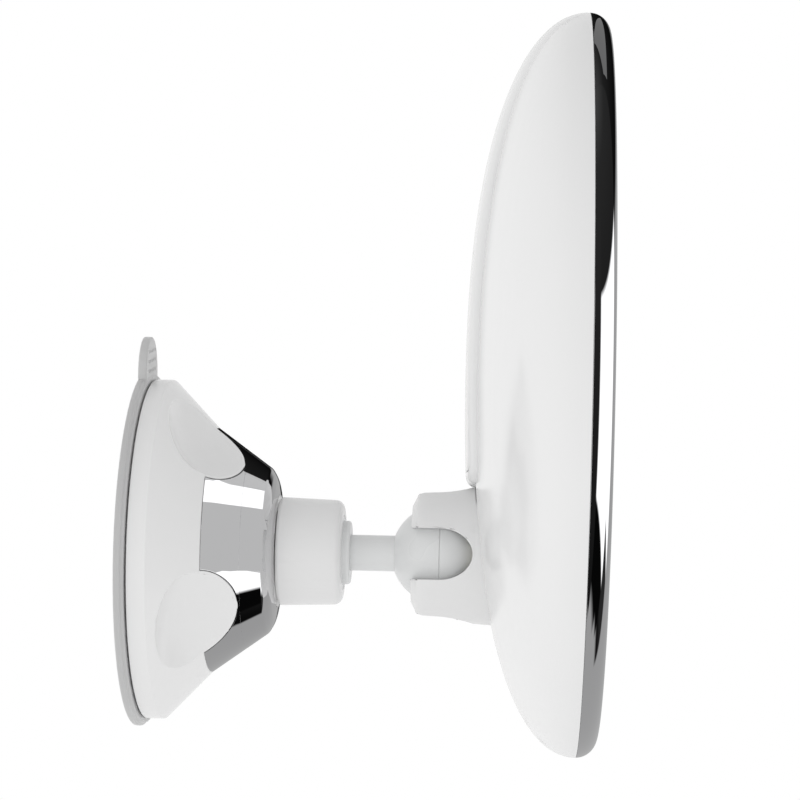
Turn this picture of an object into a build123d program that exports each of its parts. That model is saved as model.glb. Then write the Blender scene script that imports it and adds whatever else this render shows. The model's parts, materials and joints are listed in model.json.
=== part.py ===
"""Lighted wall makeup mirror on a twist-lock suction base, millimetres.

The origin is the centre of the suction disc's wall face.  +X points out of
the wall towards the mirror face, +Z is up.  Everything on the base, the arm
and the ball turns about the X axis; the round head turns about a line
parallel to it, head_height above the ball.
"""
from build123d import *
from math import asin, cos, degrees, radians, sin, sqrt
import os

# Fits shared by all pieces
loose_gap = 0.3
close_gap = 0.1
running_gap = 0.05
overrun = 2.0

# Suction disc
disc_radius = 48.0
disc_thickness = 2.6
disc_edge_round = 0.8
boss_radius = 13.0
boss_top_radius = 10.8
boss_length = 5.2
tab_length = 9.7
tab_width = 19.6
tab_turn = 10.0
tab_thickness = 2.6
tab_overlap = 4.0
tab_dot_radius = 0.5
tab_dot_pitch = 2.6
tab_dot_lift = 3.5

# Stud that pulls the disc, and its cross pin
suction_stroke = 3.0
lock_turn = 90.0
stud_radius = 4.2
stud_flange_radius = 8.8
stud_flange_length = 2.0
stud_nose = 10.0
pin_radius = 2.0
pin_place = 21.0
pin_inset = 0.8

# Pressure plate with its hub
plate_inset = 5.0
plate_foot_width = 4.5
plate_web = 2.4
plate_edge = 2.2
plate_knee = 1.6
plate_knee_inset = 6.5
plate_dish_inset = 12.5
hub_radius = 7.6
hub_nose = 6.2
hub_plug = 9.0
hub_flat = 6.6

# Locking knob
knob_inset = 2.0
knob_start = 3.0
knob_rim_end = 7.8
knob_bend = 20.1
knob_bend_radius = 33.2
knob_shoulder = 35.1
knob_shoulder_radius = 22.4
knob_nose = 36.7
knob_nose_radius = 19.7
knob_front = 37.4
knob_front_radius = 15.1
knob_wall = 2.4
chrome_depth = 1.2
grip_count = 4
tab_middle_angle = 12.0
scoop_axis_angle = 43.0
scoop_middle = 18.3
scoop_depth = 4.3
scoop_length_radius = 25.4
scoop_width_radius = 40.0
scoop_wall = 1.3
scoop_lip = 0.45

# Cam sleeve inside the knob
cam_radius = 12.0
cam_start = 15.0
cam_flange_radius = 16.0
cam_flange_length = 2.0
cam_screw_place = 14.1
cam_screw_length = 3.2

# Swivel collar, bush and arm rod
collar_gap = 0.2
collar_rear_radius = 14.7
collar_front_radius = 14.1
collar_length = 17.4
collar_rear_round = 1.0
collar_front_round = 2.4
collar_floor = 3.0
collar_wall = 4.0
swivel_washer_length = 0.6
swivel_washer_bore = 4.0
rod_radius = 4.85
rod_flange_gap = 0.9
rod_flange_length = 2.8
rod_spigot_radius = 3.2
bush_nose_radius = 8.6
bush_nose_length = 2.0
bush_nose_round = 0.8

# Ball, its seat and its socket
ball_radius = 13.4
ball_place = 81.4
ball_flat = 12.6
ball_screw_depth = 2.4
parting_bevel = 0.2
socket_gap = 0.1
socket_mouth_reach = 7.6
socket_mouth_lip = 1.1
socket_lip = 1.6
socket_lip_round = 0.8
socket_lip_step = 0.4
socket_wall = 4.4
socket_foot_reach = 9.6
socket_foot_step = 0.6
socket_reach = 17.2
socket_flare = 0.5
socket_floor = 3.3
socket_slot = 13.6
socket_slot_reach = 8.9
socket_slot_round = 9.0
socket_slot_count = 4
seat_floor_gap = 0.2
socket_screw_inset = 3.7

# Screws, each by shank radius, head radius and head length
small_screw = (1.0, 1.9, 1.2)
screw = (1.3, 2.6, 1.6)
large_screw = (1.5, 3.0, 1.8)
screw_gap = 0.15
small_screw_length = 4.0
screw_length = 10.0
ball_screw_length = 18.0
hub_screw_length = 8.0

# Round head
head_height = 46.7
head_reach = 19.9
head_radius = 100.1
shell_wall = 2.2
dome_radius_power = 2.4
dome_depth_power = 0.47
dome_station_shares = (0.0, 0.24, 0.44, 0.6, 0.73, 0.83, 0.905, 0.955, 0.985, 0.997)
hump_rise = 2.7
hump_side = 4.1
hump_base = 18.7
hump_corner = 14.0
hump_edge_round = 2.4
well_inset = 2.0
well_floor = 2.4

# Battery bay, cells and door
cell_radius = 7.2
cell_length = 50.5
cell_count = 4
cell_gap = 0.8
cell_nub_radius = 2.7
cell_nub_length = 1.2
bay_wall = 1.5
bay_inset = 1.2
bay_clearance = 2.1
bay_cover = 5.5
bay_rib = 0.5
contact_room = 3.65
contact_thickness = 0.5
contact_width = 9.0
contact_leaf_length = 11.0
door_gap = 0.3
door_corner = 3.0
door_travel = 12.0
latch_width = 9.0
latch_inset = 0.9

# Power switch
button_inset = 38.1
button_radius = 7.5
button_flange_lip = 1.7
button_flange_length = 1.2
button_flange_depth = 10.8
button_travel = 0.8
button_stem_radius = 2.0
switch_board_gap = 4.4
switch_board_length = 1.6
switch_board_width = 32.0
switch_board_height = 15.0
switch_post_radius = 2.8
switch_post_place = 12.5
tact_width = 6.0
tact_body = 2.4

# Mirror, inner frame and light
light_width = 19.1
mirror_thickness = 3.0
mirror_curve = 600.0
mirror_stand = 2.4
pad_thickness = 0.8
pad_inset = 14.0
pad_width = 26.0
frame_wall = 1.6
frame_dish = 2.0
frame_hole = 8.0
frame_depth = 7.8
frame_floor = 1.8
frame_stand = 1.7
board_thickness = 1.2
board_margin = 1.5
led_count = 24
led_width = 3.5
led_height = 2.8
led_thickness = 0.9
diffuser_thickness = 2.0
post_radius = 4.0
post_inset = 10.0
post_side_gap = 11.9

# Chrome rim
rim_width = 7.1
rim_lip_width = 1.5
rim_lip_thickness = 2.4
rim_middle_depth = 1.9
rim_middle_inset = 2.0
rim_lip_edge = 0.8
rim_skirt = 3.5
rim_skirt_wall = 2.0

# Places that follow from the sizes above: the base
tab_reach = disc_radius + tab_length
tab_root = disc_radius - tab_overlap
boss_end = disc_thickness + boss_length
plate_radius = disc_radius - plate_inset
plate_knee_radius = plate_radius - plate_knee_inset
plate_dish_radius = plate_knee_radius - plate_dish_inset
knob_radius = disc_radius - knob_inset
web_start = boss_end + suction_stroke + loose_gap + loose_gap
web_end = web_start + plate_web
stud_end = pin_place + stud_nose
pin_length = 2 * (cam_radius - pin_inset)
hub_end = knob_front + hub_nose
bore_end = hub_end - hub_plug
collar_start = knob_front + collar_gap
collar_end = collar_start + collar_length
collar_bore = collar_front_radius - collar_wall
collar_floor_start = hub_end + close_gap
collar_floor_end = collar_floor_start + collar_floor

# The arm, the ball and the socket
rod_flange_radius = collar_bore - rod_flange_gap
flange_start = collar_floor_end + swivel_washer_length + close_gap
flange_end = flange_start + rod_flange_length
rod_shoulder = ball_place - sqrt(ball_radius ** 2 - rod_radius ** 2) + loose_gap
socket_bore = ball_radius + socket_gap
socket_mouth = ball_place - socket_mouth_reach
socket_mouth_radius = socket_bore + socket_mouth_lip
socket_front_radius = socket_bore + socket_wall
socket_lip_radius = socket_front_radius - socket_lip_step
socket_foot = ball_place + socket_foot_reach
socket_foot_radius = socket_front_radius + socket_foot_step
socket_flare_radius = socket_foot_radius + socket_flare
socket_base = ball_place + socket_reach
socket_slot_bottom = ball_place + socket_slot_reach
socket_screw_place = socket_flare_radius - socket_screw_inset
socket_inner_floor = socket_base - socket_floor
seat_start = socket_slot_bottom + loose_gap
seat_end = socket_inner_floor - seat_floor_gap

# The head, out from the socket
seam = socket_base + head_reach
frame_floor_place = seam - frame_depth
frame_top = seam + frame_stand
mirror_front = frame_top + mirror_stand
bay_floor = frame_floor_place - bay_clearance
hump_depth = seam - bay_floor + bay_wall + 2 * cell_radius + bay_cover
dome_depth = hump_depth - hump_rise
button_flange_place = seam - hump_depth + button_flange_depth
switch_board_place = button_flange_place + button_flange_length + switch_board_gap
well_radius = socket_flare_radius - well_inset
well_floor_start = socket_base + close_gap
well_floor_end = well_floor_start + well_floor
rim_front = frame_top + 2 * close_gap + diffuser_thickness + rim_lip_thickness
rim_middle = rim_front - rim_middle_depth

# The head, in its own plane
cell_pitch = 2 * cell_radius + cell_gap
bay_half = cell_count * cell_pitch / 2 + bay_wall
hump_half_width = bay_half + hump_side
hump_bottom = hump_base - head_height
bay_bottom = hump_bottom + bay_inset
bay_top = bay_bottom + cell_length + 2 * (bay_wall + contact_room)
button_place = head_radius - button_inset
button_flange_radius = button_radius + button_flange_lip
trough_outer_radius = head_radius - rim_width
trough_inner_radius = trough_outer_radius - light_width
frame_inner_radius = trough_inner_radius - frame_wall
mirror_radius = frame_inner_radius - loose_gap
pad_outer_radius = mirror_radius - pad_inset
pad_inner_radius = pad_outer_radius - pad_width
post_place = mirror_radius - post_inset
post_side = bay_half + post_side_gap
post_rise = sqrt(post_place ** 2 - post_side ** 2)
rim_front_radius = trough_outer_radius
rim_middle_radius = head_radius - rim_middle_inset
rim_lip_radius = rim_front_radius - rim_lip_width

# The mirror's curve and what lies behind it
mirror_centre = mirror_front + sqrt(mirror_curve ** 2 - mirror_radius ** 2)
glass_back_curve = mirror_curve + mirror_thickness
pad_front_curve = glass_back_curve + running_gap
pad_back_curve = pad_front_curve + pad_thickness
dish_front_curve = pad_back_curve + running_gap
dish_back_curve = dish_front_curve + frame_dish
board_front = frame_floor_place + frame_floor + close_gap + board_thickness


def turned(points, rounds=None, height=0.0):
    """Turn a closed outline of (x, radius) points about the X line at height."""
    corners = [(x, 0, height + radius) for x, radius in points]
    if rounds is None:
        outline = Polyline(*corners, close=True)
    else:
        outline = FilletPolyline(*corners, radius=rounds, close=True)
    return revolve(make_face(outline), Axis((0, 0, height), (1, 0, 0)))


def turned_arc(points, through):
    """Turn an outline about X whose last point joins its first by an arc."""
    corners = [(x, 0, radius) for x, radius in points]
    arc = ThreePointArc(corners[-1], (through[0], 0, through[1]), corners[0])
    edges = list(Polyline(*corners).edges()) + [arc.edge()]
    return revolve(make_face(edges), Axis.X)


def rod(radius, start, end, y=0.0, z=0.0):
    """A round bar along X from start to end."""
    bar = Cylinder(radius, end - start, align=(Align.CENTER, Align.CENTER, Align.MIN))
    return Pos(start, y, z) * Rot(0, 90, 0) * bar


def ring(outer, inner, start, end, height=0.0):
    """A flat washer or tube along X."""
    return turned([(start, inner), (start, outer), (end, outer), (end, inner)], None, height)


def ball_of(radius):
    """A full ball about the ball joint's centre."""
    return Pos(ball_place, 0, 0) * Rot(0, 90, 0) * Sphere(radius)


def block(start, end, left, right, bottom, top):
    """A box between two corners."""
    size = Box(end - start, right - left, top - bottom, align=Align.MIN)
    return Pos(start, left, bottom) * size


def around(shape, count, first=0.0, height=0.0):
    """Copies of a shape turned evenly about the X line at height."""
    line = Axis((0, 0, height), (1, 0, 0))
    return [shape.rotate(line, first + 360 * turn / count) for turn in range(count)]


def at_posts(shape):
    """Copies of a shape on the head's centre line, moved to the four posts."""
    return [
        Pos(0, side * post_side, level * post_rise) * shape
        for side in (-1, 1)
        for level in (-1, 1)
    ]


def joined(shapes):
    """One shape from overlapping ones."""
    total = shapes[0]
    for shape in shapes[1:]:
        total = total + shape
    return total


def screw_body(sizes, length, head_start, towards, y=0.0, z=0.0):
    """A plain screw: its head ends at head_start and its shank runs on towards +X or -X."""
    shank, head, head_length = sizes
    back = head_start - towards * head_length
    tip = head_start + towards * length
    head_bar = rod(head, min(back, head_start), max(back, head_start), y, z)
    shank_bar = rod(shank, min(head_start, tip), max(head_start, tip), y, z)
    return head_bar + shank_bar


def save(shape, name):
    """Write one sub-part."""
    export_step(shape, "parts/" + name + ".step")


def group(shapes):
    """Identical separate pieces under one name."""
    return Compound(children=list(shapes))


# Base

def suction_disc():
    """Soft disc with a flat wall face, a pull tab and a boss moulded round the stud's flange."""
    points = [
        (0, 0),
        (0, disc_radius),
        (disc_thickness, disc_radius),
        (disc_thickness, boss_radius),
        (boss_end, boss_top_radius),
        (boss_end, 0),
    ]
    rounds = [0, disc_edge_round, disc_edge_round, 0, disc_edge_round, 0]
    disc = turned(points, rounds)
    pocket_end = disc_thickness + stud_flange_length + close_gap
    disc = disc - rod(stud_flange_radius + close_gap, disc_thickness - close_gap, pocket_end)
    disc = disc - rod(stud_radius + close_gap, pocket_end - close_gap, boss_end + overrun)
    round_centre = tab_reach - tab_width / 2
    tab = rod(tab_width / 2, 0, tab_thickness, 0, round_centre)
    tab = tab + block(0, tab_thickness, -tab_width / 2, tab_width / 2, tab_root, round_centre)
    for row in (-1, 0, 1):
        height = round_centre + tab_dot_lift + tab_dot_pitch * row
        for side in (-2, -1, 0, 1, 2):
            tab = tab + Pos(tab_thickness, side * tab_dot_pitch, height) * Sphere(tab_dot_radius)
    return disc + Rot(tab_turn, 0, 0) * tab


def draw_stud():
    """Stud whose flange is moulded in the disc; the cross pin passes through its shank."""
    flange = rod(stud_flange_radius, disc_thickness, disc_thickness + stud_flange_length)
    stud = flange + rod(stud_radius, disc_thickness, stud_end)
    hole = Pos(pin_place, 0, 0) * Rot(90, 0, 0) * Cylinder(pin_radius, pin_length)
    return stud - hole


def cross_pin():
    """Steel pin through the stud, riding in the cam sleeve's two slots."""
    return Pos(pin_place, 0, 0) * Rot(90, 0, 0) * Cylinder(pin_radius, pin_length)


def pressure_plate():
    """Rigid dished plate that presses on the disc's edge, with the hub the knob turns on."""
    knee_front = disc_thickness + plate_edge + plate_knee
    points = [
        (disc_thickness, plate_radius),
        (disc_thickness, plate_radius - plate_foot_width),
        (knee_front - plate_edge, plate_knee_radius - plate_knee),
        (web_start, plate_dish_radius - plate_knee),
        (web_start, stud_radius + running_gap),
        (bore_end, stud_radius + running_gap),
        (bore_end, 0),
        (hub_end, 0),
        (hub_end, hub_radius),
        (web_end, hub_radius),
        (web_end, plate_dish_radius),
        (knee_front, plate_knee_radius),
        (disc_thickness + plate_edge, plate_radius),
    ]
    plate = turned(points)
    slot_half = pin_radius + loose_gap
    slot = block(
        pin_place - slot_half,
        pin_place + suction_stroke + slot_half,
        -hub_radius - overrun,
        hub_radius + overrun,
        -slot_half,
        slot_half,
    )
    plate = plate - slot
    plate = plate - rod(large_screw[0] + screw_gap, hub_end - hub_screw_length, hub_end + overrun)
    for side in (-1, 1):
        flat_from = min(side * hub_flat, side * (hub_flat + overrun))
        flat = block(
            collar_start,
            hub_end + overrun,
            flat_from,
            flat_from + overrun,
            -hub_radius,
            hub_radius,
        )
        plate = plate - flat
    return plate


def thrust_washer():
    """Low-friction washer between the pressure plate's web and the cam sleeve."""
    return ring(cam_radius, hub_radius + close_gap, web_end, cam_start - close_gap)


def cam_slot():
    """Helical slot for the cross pin, cut through one side of the sleeve."""
    clearance = degrees(asin(loose_gap / cam_radius))
    turn = lock_turn + 2 * clearance
    middle = (cam_radius + hub_radius) / 2
    pitch = suction_stroke * 360 / lock_turn
    rise = pitch * turn / 360
    path = Helix(pitch, rise, middle, center=(0, 0, 0), direction=(0, 0, 1))
    width = 2 * (pin_radius + loose_gap)
    depth = cam_radius - hub_radius + overrun
    section = Plane(origin=path @ 0, z_dir=path % 0, x_dir=(1, 0, 0)) * Rectangle(depth, width)
    slot = sweep(section, path=path, is_frenet=True)
    first_end = Pos(middle, 0, 0) * Rot(0, 90, 0) * Cylinder(width / 2, depth)
    last_end = Pos(0, 0, rise) * Rot(0, 0, turn) * first_end
    start = pin_place - pitch * clearance / 360
    return Pos(start, 0, 0) * Rot(0, 90, 0) * Rot(0, 0, -clearance) * (slot + first_end + last_end)


def cam_sleeve():
    """Sleeve with two helical slots that draw the cross pin outwards over a quarter turn."""
    sleeve_end = knob_front - knob_wall
    flange_start_place = sleeve_end - cam_flange_length
    bore = hub_radius + running_gap
    sleeve = ring(cam_radius, bore, cam_start, sleeve_end)
    sleeve = sleeve + ring(cam_flange_radius, bore, flange_start_place, sleeve_end)
    hole = rod(small_screw[0] + screw_gap, flange_start_place - overrun, knob_front, 0, cam_screw_place)
    sleeve = sleeve - joined(around(hole, grip_count, tab_middle_angle))
    slots = [cam_slot().rotate(Axis.X, side * 90) for side in (-1, 1)]
    return sleeve - joined(slots)


def cam_screws():
    """Four screws that hold the cam sleeve under the knob's front wall."""
    head_at = knob_front - knob_wall - cam_flange_length
    one = screw_body(small_screw, cam_screw_length, head_at, 1, 0, cam_screw_place)
    return group(around(one, grip_count, tab_middle_angle))


def knob_outline(inset):
    """Points of the knob's outer form, moved inwards by inset."""
    lean = radians(scoop_axis_angle)
    back = inset * sin(lean)
    down = inset * cos(lean)
    return [
        (knob_rim_end, knob_radius - inset),
        (knob_bend - back, knob_bend_radius - down),
        (knob_shoulder - back, knob_shoulder_radius - down),
        (knob_nose - inset, knob_nose_radius - down),
        (knob_front - inset, knob_front_radius),
    ]


def knob_solid(inset):
    """The knob's outer form as a full solid, moved inwards by inset."""
    points = [(knob_start, 0), (knob_start, knob_radius - inset)] + knob_outline(inset)
    points.append((knob_front - inset, 0))
    return turned(points)


def scoops(grow):
    """Spheroids that hollow the finger grips, four round the knob."""
    length = scoop_length_radius + grow
    width = scoop_width_radius + grow
    arc = EllipticalCenterArc((0, 0), length, width, start_angle=0, arc_size=180)
    spheroid = revolve(make_face([arc.edge(), Edge.make_line(arc @ 1, arc @ 0)]), Axis.X)
    lean = radians(scoop_axis_angle)
    share = (scoop_middle - knob_rim_end) / (knob_bend - knob_rim_end)
    surface = knob_radius + (knob_bend_radius - knob_radius) * share
    lift = scoop_width_radius - scoop_depth
    place = Pos(scoop_middle + lift * sin(lean), 0, surface + lift * cos(lean))
    placed = place * Rot(0, scoop_axis_angle, 0) * spheroid
    first = 90 - (tab_middle_angle + 180 / grip_count)
    return around(placed, grip_count, first)


def chrome_band():
    """The layer of the knob that the chrome ring fills, all round."""
    layer = knob_solid(0) - knob_solid(chrome_depth)
    half = knob_radius + overrun
    ahead = block(knob_bend, knob_front + overrun, -half, half, -half, half)
    return (layer & ahead) - rod(knob_front_radius, 0, knob_front + overrun)


def lock_knob():
    """White conical knob: thin wall, four finger scoops and a seat for the chrome ring."""
    solid = knob_solid(0)
    hollow = knob_solid(knob_wall + chrome_depth)
    inner = rod(knob_radius - knob_wall, knob_start - overrun, knob_rim_end)
    body = solid - chrome_band() - hollow - inner
    under = knob_solid(chrome_depth)
    for bowl in scoops(scoop_wall):
        body = body + (bowl & under)
    for bowl in scoops(scoop_lip):
        body = body + (bowl & solid)
    for bowl in scoops(0):
        body = body - bowl
    body = body - rod(cam_flange_radius + loose_gap, knob_start, knob_front - knob_wall)
    body = body - rod(hub_radius + running_gap, knob_start, knob_front + overrun)
    hole = rod(small_screw[0], knob_start, knob_front - chrome_depth / 2, 0, cam_screw_place)
    return body - joined(around(hole, grip_count, tab_middle_angle))


def knob_chrome_ring():
    """Plated ring over the knob's front, with four tabs between the scoops."""
    band = chrome_band()
    for bowl in scoops(scoop_lip + running_gap):
        band = band - bowl
    return band


# Swivel collar and arm

def swivel_collar():
    """Collar screwed on the hub's end; the arm's flange turns inside it."""
    points = [
        (collar_start, 0),
        (collar_start, collar_rear_radius),
        (collar_end, collar_front_radius),
        (collar_end, 0),
    ]
    collar = turned(points, [0, collar_rear_round, collar_front_round, 0])
    keyed = rod(hub_radius + running_gap, collar_start - overrun, collar_floor_start)
    flat = hub_flat + running_gap
    keyed = keyed & block(
        collar_start - overrun, collar_floor_start, -flat, flat, -collar_bore, collar_bore
    )
    collar = collar - keyed
    collar = collar - rod(collar_bore, collar_floor_end, collar_end + overrun)
    shank, head, head_length = large_screw
    head_pocket = collar_floor_end - head_length - close_gap
    collar = collar - rod(head + screw_gap, head_pocket, collar_floor_end + overrun)
    return collar - rod(shank + screw_gap, collar_start, collar_floor_end)


def hub_screw():
    """Screw that holds the collar to the hub."""
    head_at = collar_floor_end - large_screw[2] - close_gap
    return screw_body(large_screw, hub_screw_length, head_at, -1)


def friction_washer():
    """Rubber washer that gives the arm's turn its drag."""
    outer = rod_flange_radius
    return ring(outer, swivel_washer_bore, collar_floor_end, collar_floor_end + swivel_washer_length)


def swivel_bush():
    """Bush pressed into the collar's mouth; it traps the arm's flange."""
    inner = rod_radius + running_gap
    start = flange_end + close_gap
    outer = collar_bore - running_gap
    nose_end = collar_end + bush_nose_length
    points = [
        (start, inner),
        (start, outer),
        (collar_end - close_gap, outer),
        (collar_end - close_gap, bush_nose_radius),
        (nose_end, bush_nose_radius),
        (nose_end, inner),
    ]
    return turned(points, [0, 0, 0, 0, bush_nose_round, 0])


def arm_rod():
    """Short rod between the swivel and the ball."""
    body = rod(rod_flange_radius, flange_start, flange_end)
    body = body + rod(rod_radius, flange_start, rod_shoulder)
    body = body + rod(rod_spigot_radius, rod_shoulder - overrun, ball_place - overrun)
    return body - rod(large_screw[0], rod_shoulder, ball_place)


def ball_point(x, radius):
    """Radius of the ball's surface at a place along X."""
    return sqrt(radius ** 2 - (x - ball_place) ** 2)


def ball_rear_half():
    """Rear half of the ball, bored for the rod and its spigot, with a bevel at the parting line."""
    bore = rod_radius + running_gap
    spigot_bore = rod_spigot_radius + running_gap
    mouth = ball_place - ball_point(ball_place + bore, ball_radius)
    bevel = ball_place - parting_bevel
    middle = (mouth + bevel) / 2
    points = [
        (mouth, bore),
        (rod_shoulder, bore),
        (rod_shoulder, spigot_bore),
        (ball_place, spigot_bore),
        (ball_place, ball_radius - parting_bevel),
        (bevel, ball_point(bevel, ball_radius)),
    ]
    return turned_arc(points, (middle, ball_point(middle, ball_radius)))


def ball_front_half():
    """Front half of the ball, with the screw's counterbore in its flat."""
    shank, head, head_length = large_screw
    flat = ball_place + ball_flat
    pocket = flat - ball_screw_depth
    bevel = ball_place + parting_bevel
    middle = (flat + bevel) / 2
    points = [
        (flat, ball_point(flat, ball_radius)),
        (flat, head + screw_gap),
        (pocket, head + screw_gap),
        (pocket, shank + screw_gap),
        (ball_place, shank + screw_gap),
        (ball_place, ball_radius - parting_bevel),
        (bevel, ball_point(bevel, ball_radius)),
    ]
    return turned_arc(points, (middle, ball_point(middle, ball_radius)))


def ball_screw():
    """Screw through the ball's front half into the rod."""
    head_at = ball_place + ball_flat - ball_screw_depth
    return screw_body(large_screw, ball_screw_length, head_at, -1)


def ball_seat():
    """Friction cup between the ball and the socket's floor."""
    face = ball_radius + running_gap
    hole = ball_screw_depth + large_screw[1]
    outer = socket_bore - close_gap
    rim = ball_place + ball_point(ball_place + hole, face)
    middle = (seat_start + rim) / 2
    points = [
        (seat_start, ball_point(seat_start, face)),
        (seat_start, outer),
        (seat_end, outer),
        (seat_end, hole),
        (rim, hole),
    ]
    return turned_arc(points, (middle, ball_point(middle, face)))


def ball_socket():
    """Snap socket with four sprung fingers, on a foot let into the shell's well."""
    points = [
        (socket_mouth, 0),
        (socket_mouth, socket_mouth_radius),
        (socket_mouth + socket_lip, socket_lip_radius),
        (socket_mouth + socket_lip + socket_lip, socket_front_radius),
        (socket_foot, socket_foot_radius),
        (socket_base, socket_flare_radius),
        (socket_base, 0),
    ]
    outer = turned(points, [0, socket_lip_round, socket_lip, socket_lip, socket_lip, 0, 0])
    spigot = rod(well_radius - close_gap, socket_mouth, socket_base)
    foot = outer - dome(dome_depth + close_gap, head_radius)
    socket = foot + (outer & spigot)
    socket = socket - ball_of(socket_bore)
    socket = socket - rod(socket_bore, ball_place, socket_inner_floor)
    slot_half = socket_slot / 2
    slot_end = socket_slot_bottom - socket_slot_round
    slot = block(
        socket_mouth - overrun,
        slot_end,
        -slot_half,
        slot_half,
        0,
        socket_flare_radius + overrun,
    )
    oval = Pos(slot_end, 0, 0) * Ellipse(socket_slot_round, slot_half)
    bottom = extrude(oval, socket_flare_radius + overrun)
    socket = socket - joined(around(slot + bottom, socket_slot_count))
    hole_start = socket_base - screw_length
    hole = rod(screw[0], hole_start, socket_base + overrun, 0, socket_screw_place)
    return socket - joined(around(hole, socket_slot_count, 180 / socket_slot_count))


def socket_screws():
    """Four screws from inside the head into the socket's foot."""
    one = screw_body(screw, screw_length - close_gap, well_floor_end, -1, 0, socket_screw_place)
    return group(around(one, socket_slot_count, 180 / socket_slot_count))


# Head

def dome_place(radius, depth, full_radius):
    """How far a dome of that depth stands behind the seam at a radius."""
    share = (radius / full_radius) ** dome_radius_power
    return depth * (1 - share) ** dome_depth_power


def dome(depth, full_radius):
    """A full dome behind the seam plane, the form of the back of the head."""
    points = []
    for share in dome_station_shares:
        radius = share * full_radius
        points.append((seam - dome_place(radius, depth, full_radius), 0, head_height + radius))
    points.append((seam, 0, head_height + full_radius))
    curve = Spline(*points, tangents=[(0, 0, 1), (1, 0, 0)])
    foot = Edge.make_line((seam, 0, head_height + full_radius), (seam, 0, head_height))
    axis = Edge.make_line((seam, 0, head_height), points[0])
    face = make_face([curve.edge(), foot, axis])
    return revolve(face, Axis((0, 0, head_height), (1, 0, 0)))


def hump_prism(inset):
    """Upright prism with the outline of the raised battery hump, moved inwards by inset."""
    half = hump_half_width - inset
    bottom = head_height + hump_bottom + inset
    top = head_height + head_radius + overrun
    outline = FilletPolyline(
        (0, -half, top),
        (0, -half, bottom),
        (0, half, bottom),
        (0, half, top),
        radius=[0, hump_corner - inset, hump_corner - inset, 0],
        close=True,
    )
    return Pos(seam, 0, 0) * extrude(make_face(outline), -seam / 2, dir=(1, 0, 0))


def head_solid(inset):
    """The outer form of the back of the head, moved inwards by inset."""
    hump = dome(hump_depth - inset, head_radius - inset) & hump_prism(inset)
    crest = [
        edge
        for edge in hump.edges().filter_by(GeomType.BSPLINE)
        if edge.bounding_box().size.Y > close_gap or abs(edge.center().Y) > close_gap
    ]
    if inset < hump_edge_round:
        hump = fillet(crest, hump_edge_round - inset)
    return dome(dome_depth - inset, head_radius - inset) + hump


def door_prism(gap):
    """Upright prism through the door's opening, smaller by gap."""
    half = bay_half - bay_wall - gap
    bottom = head_height + bay_bottom + bay_wall + gap
    top = head_height + bay_top - bay_wall - gap
    outline = FilletPolyline(
        (0, -half, bottom),
        (0, half, bottom),
        (0, half, top),
        (0, -half, top),
        radius=door_corner,
        close=True,
    )
    opening = Pos(seam - door_travel, 0, 0) * extrude(
        make_face(outline), -seam / 2, dir=(1, 0, 0)
    )
    half = latch_width / 2 - gap
    latch_bottom = head_height + hump_bottom - overrun
    if gap > 0:
        latch_bottom = head_height + hump_bottom + latch_inset
    latch_end = seam - dome_place(-hump_bottom, dome_depth, head_radius) - gap
    tongue = block(
        seam - door_travel - seam / 2, latch_end, -half, half, latch_bottom, bottom + overrun
    )
    return opening + tongue


def post_height(radius):
    """Where the inner frame's back face stands at a radius."""
    return mirror_centre - sqrt(dish_back_curve ** 2 - radius ** 2)


def back_shell():
    """White domed shell with its battery opening, socket well and screw posts."""
    outer = head_solid(0)
    inner = head_solid(shell_wall)
    shell = outer - inner
    well = rod(well_radius + shell_wall, seam - hump_depth, well_floor_end) & outer
    shell = shell + well
    post_end = post_height(post_place - post_radius) - close_gap
    post = rod(post_radius, seam - hump_depth, post_end, 0, head_height)
    shell = shell + (joined(at_posts(post)) & outer)
    for side in (-1, 1):
        small = rod(
            switch_post_radius,
            seam - hump_depth,
            switch_board_place - close_gap,
            side * switch_post_place,
            head_height + button_place,
        )
        shell = shell + (small & outer)
    shell = shell - rod(well_radius, seam - hump_depth - overrun, well_floor_start)
    hole = rod(
        screw[0] + screw_gap, well_floor_start - overrun, well_floor_end + overrun, 0, socket_screw_place
    )
    shell = shell - joined(around(hole, socket_slot_count, 180 / socket_slot_count))
    screw_start = post_end - screw_length
    hole = rod(screw[0], screw_start, post_end + overrun, 0, head_height)
    shell = shell - joined(at_posts(hole))
    for side in (-1, 1):
        shell = shell - rod(
            small_screw[0],
            switch_board_place - small_screw_length,
            switch_board_place + overrun,
            side * switch_post_place,
            head_height + button_place,
        )
    shell = shell - door_prism(0)
    return shell - rod(
        button_radius + loose_gap, seam - hump_depth - overrun, button_flange_place, 0,
        head_height + button_place,
    )


def battery_door():
    """Door over the batteries: the middle of the hump's wall."""
    wall = head_solid(0) - head_solid(shell_wall)
    return wall & door_prism(door_gap)


def battery_bay():
    """Open tray for four cells, closed by the door."""
    half = bay_half
    bottom = head_height + bay_bottom
    top = head_height + bay_top
    box = block(seam - hump_depth, bay_floor, -half, half, bottom, top)
    bay = box & head_solid(shell_wall + close_gap)
    bay = bay - block(
        seam - hump_depth - overrun,
        bay_floor - bay_wall,
        -half + bay_wall,
        half - bay_wall,
        bottom + bay_wall,
        top - bay_wall,
    )
    for index in range(1, cell_count):
        y = (index - cell_count / 2) * cell_pitch
        rib = block(
            bay_floor - bay_wall - cell_radius / 2,
            bay_floor - bay_wall,
            y - bay_rib / 2,
            y + bay_rib / 2,
            bottom + bay_wall,
            top - bay_wall,
        )
        bay = bay + rib
    return bay


def cell_places():
    """Sideways places of the cells and the way each one points."""
    return [
        ((index - (cell_count - 1) / 2) * cell_pitch, 1 if index % 2 else -1)
        for index in range(cell_count)
    ]


def cell_depth():
    """Where the cells' axes stand out from the wall."""
    return bay_floor - bay_wall - cell_radius - close_gap


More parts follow.
